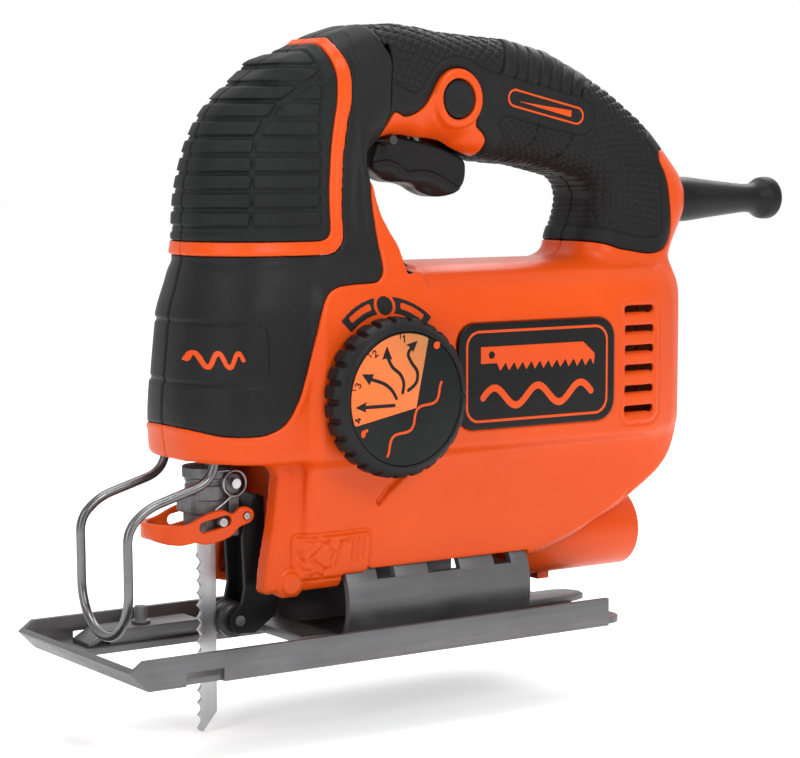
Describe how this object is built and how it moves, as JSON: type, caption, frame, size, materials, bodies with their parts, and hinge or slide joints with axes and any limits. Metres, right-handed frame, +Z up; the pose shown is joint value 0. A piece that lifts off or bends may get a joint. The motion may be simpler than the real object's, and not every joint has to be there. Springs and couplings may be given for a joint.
{
  "type": "jigsaw",
  "caption": "Corded jigsaw with an open handle, a motor body, a knurled dial, a wire finger guard, a guide roller and a tilting sheet steel sole around a toothed blade.",
  "frame": {"origin": "on the underside of the sole, on the tool's centre plane, where the blade passes through it", "axes": "+Z up from the sole; -X the cutting direction, towards the finger guard; +X towards the cord; +Y the tool's right side"},
  "size_m": [0.2924, 0.0814, 0.2298],
  "materials": {
    "orange_plastic": "moulded, fine satin texture",
    "orange_lever": "moulded, satin gloss",
    "black_plastic": "moulded, fine grain",
    "rubber_pad": "soft overmould, ribbed",
    "rubber_grip": "soft overmould, knurled",
    "badge": "smooth label with an orange line",
    "trigger_plastic": "moulded, satin",
    "dial_plastic": "moulded, knurled rim",
    "dial_face": "printed disc",
    "cord_rubber": "moulded, satin",
    "screw_steel": "bright, turned",
    "bearing_steel": "ground",
    "gear_steel": "machined",
    "clamp_steel": "sintered, dark",
    "spring_steel": "drawn wire",
    "guard_wire": "zinc plated wire",
    "sole_steel": "zinc plated, dull",
    "dark_plate": "blackened",
    "blade_steel": "ground, light",
    "arm_paint": "black oxide",
    "cast_alloy": "die cast",
    "lamination": "stacked sheets",
    "copper_wire": "enamelled copper",
    "commutator_copper": "turned copper bars",
    "bronze": "sintered bronze",
    "carbon": "pressed carbon"
  },
  "bodies": {
    "housing": {"housing_left": "orange_plastic", "housing_right": "orange_plastic", "front_cover": "black_plastic", "head_pad": "rubber_pad", "handle_grip": "rubber_grip", "trigger_bezel": "orange_plastic", "badge_plate": "badge", "housing_screws": "screw_steel", "gear_case": "cast_alloy", "gear_spindle": "screw_steel", "rod_bushings": "bronze", "front_bearing": "bearing_steel", "rear_bearing": "bearing_steel", "stator_core": "lamination", "field_coils": "copper_wire", "brush_holders": "bronze", "carbon_brushes": "carbon", "switch_module": "black_plastic", "cord_guard": "cord_rubber", "cord_clamp": "black_plastic", "finger_guard": "guard_wire", "fan_baffle": "black_plastic", "dust_tube": "orange_plastic", "arm_pivot": "screw_steel", "bevel_clamp": "sole_steel", "bevel_screws": "screw_steel", "trigger_pin": "screw_steel", "trigger_spring": "spring_steel"},
    "armature": {"armature_shaft": "screw_steel", "armature_core": "lamination", "armature_windings": "copper_wire", "commutator": "commutator_copper", "fan": "black_plastic"},
    "crank": {"crank_gear": "gear_steel", "crank_pin": "screw_steel", "counterweight": "gear_steel"},
    "plunger": {"plunger_rod": "screw_steel", "yoke": "gear_steel", "blade_collar": "clamp_steel", "clamp_block": "clamp_steel", "clamp_pins": "screw_steel", "clamp_spring": "spring_steel", "blade": "blade_steel"},
    "lever": {"release_lever": "orange_lever"},
    "dial": {"dial_knob": "dial_plastic", "dial_face": "dial_face", "dial_shaft": "black_plastic"},
    "arm": {"support_arm": "arm_paint", "roller_pin": "screw_steel"},
    "roller": {"guide_roller": "gear_steel"},
    "trigger": {"trigger": "trigger_plastic"},
    "lock_button": {"lock_button": "trigger_plastic"},
    "shoe": {"shoe_plate": "sole_steel", "saddle": "sole_steel", "shoe_slide": "dark_plate", "shoe_stud": "dark_plate", "shoe_rivets": "screw_steel"},
    "tail_lever": {"bevel_lever": "blade_steel"}
  },
  "joints": [
    {"name": "armature_spin", "type": "hinge", "parent": "housing", "child": "armature", "pos_m": [0.084, 0, 0.093], "axis": [1, 0, 0], "continuous": true},
    {"name": "crank_spin", "type": "hinge", "parent": "housing", "child": "crank", "pos_m": [0.0186, 0, 0.121], "axis": [1, 0, 0], "continuous": true},
    {"name": "plunger_stroke", "type": "slide", "parent": "housing", "child": "plunger", "axis": [0, 0, 1], "range_m": [-0.009, 0.009]},
    {"name": "lever_turn", "type": "hinge", "parent": "plunger", "child": "lever", "pos_m": [0.0081, 0, 0.0455], "axis": [0, 1, 0], "range_deg": [0, 20], "stiffness_Nm_per_rad": 0.05, "springref_deg": -20.05},
    {"name": "dial_turn", "type": "hinge", "parent": "housing", "child": "dial", "pos_m": [0.0492, -0.037, 0.0834], "axis": [0, 1, 0], "range_deg": [-30, 60]},
    {"name": "arm_swing", "type": "hinge", "parent": "housing", "child": "arm", "pos_m": [0.0182, 0, 0.0239], "axis": [0, 1, 0], "range_deg": [-4, 1]},
    {"name": "roller_spin", "type": "hinge", "parent": "arm", "child": "roller", "pos_m": [0.008, 0, 0.0106], "axis": [0, 1, 0], "continuous": true},
    {"name": "trigger_press", "type": "hinge", "parent": "housing", "child": "trigger", "pos_m": [0.0642, 0, 0.1655], "axis": [0, -1, 0], "range_deg": [0, 7], "stiffness_Nm_per_rad": 0.3, "springref_deg": -8.59, "deforming": ["trigger_spring"]},
    {"name": "lock_press", "type": "slide", "parent": "housing", "child": "lock_button", "axis": [0, 1, 0], "range_m": [0, 0.003], "stiffness_N_per_m": 300, "springref_m": -0.002},
    {"name": "sole_tilt", "type": "hinge", "parent": "housing", "child": "shoe", "pos_m": [0.0755, 0, 0.014], "axis": [1, 0, 0], "range_deg": [-45, 45]},
    {"name": "tail_lever_turn", "type": "hinge", "parent": "shoe", "child": "tail_lever", "pos_m": [0.121, 0, 0.004], "axis": [0, 0, 1], "range_deg": [0, 30]}
  ],
  "couplings": [
    {"joint": "crank_spin", "follows": "armature_spin", "ratio": -0.16667}
  ]
}
